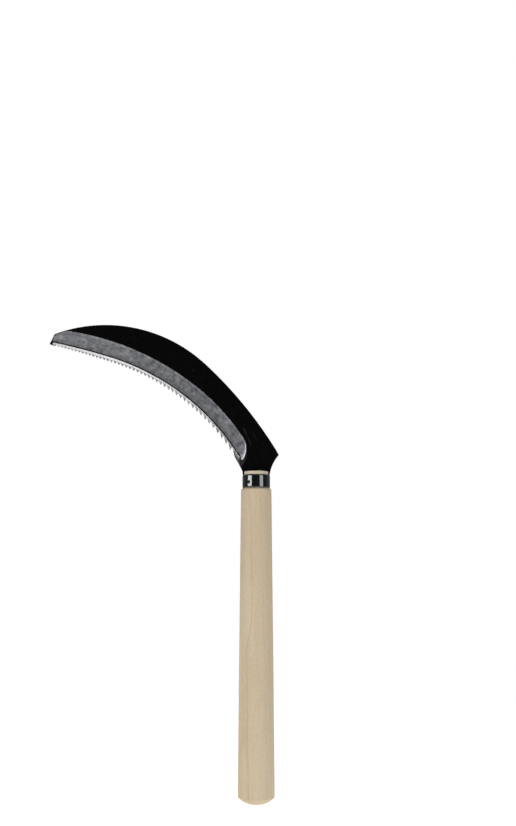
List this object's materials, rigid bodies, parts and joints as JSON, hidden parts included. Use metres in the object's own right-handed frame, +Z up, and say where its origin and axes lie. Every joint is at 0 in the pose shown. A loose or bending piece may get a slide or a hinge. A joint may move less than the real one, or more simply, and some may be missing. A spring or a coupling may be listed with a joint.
{
  "type": "serrated hand sickle",
  "caption": "Hand sickle with a curved saw-toothed steel blade, ground on one side, on a plain turned wooden handle with a ring at the neck.",
  "frame": {"origin": "middle of the small flat on the handle's butt, on the handle's axis", "axes": "+Z up along the handle from the butt to the blade; the blade sweeps towards -X in the XZ plane; its ground bevel faces -Y and its flat back faces +Y"},
  "size_m": [0.1675, 0.027, 0.3495],
  "materials": {
    "blade_steel": "black enamel on the flats, bare ground steel on the bevel and the teeth",
    "handle_wood": "pale close-grained wood, sanded, unvarnished",
    "ferrule_black": "gloss black",
    "tack_steel": "dark steel"
  },
  "bodies": {
    "root": {"blade": "blade_steel", "handle": "handle_wood", "ferrule": "ferrule_black", "ferrule_tack": "tack_steel"}
  },
  "joints": []
}
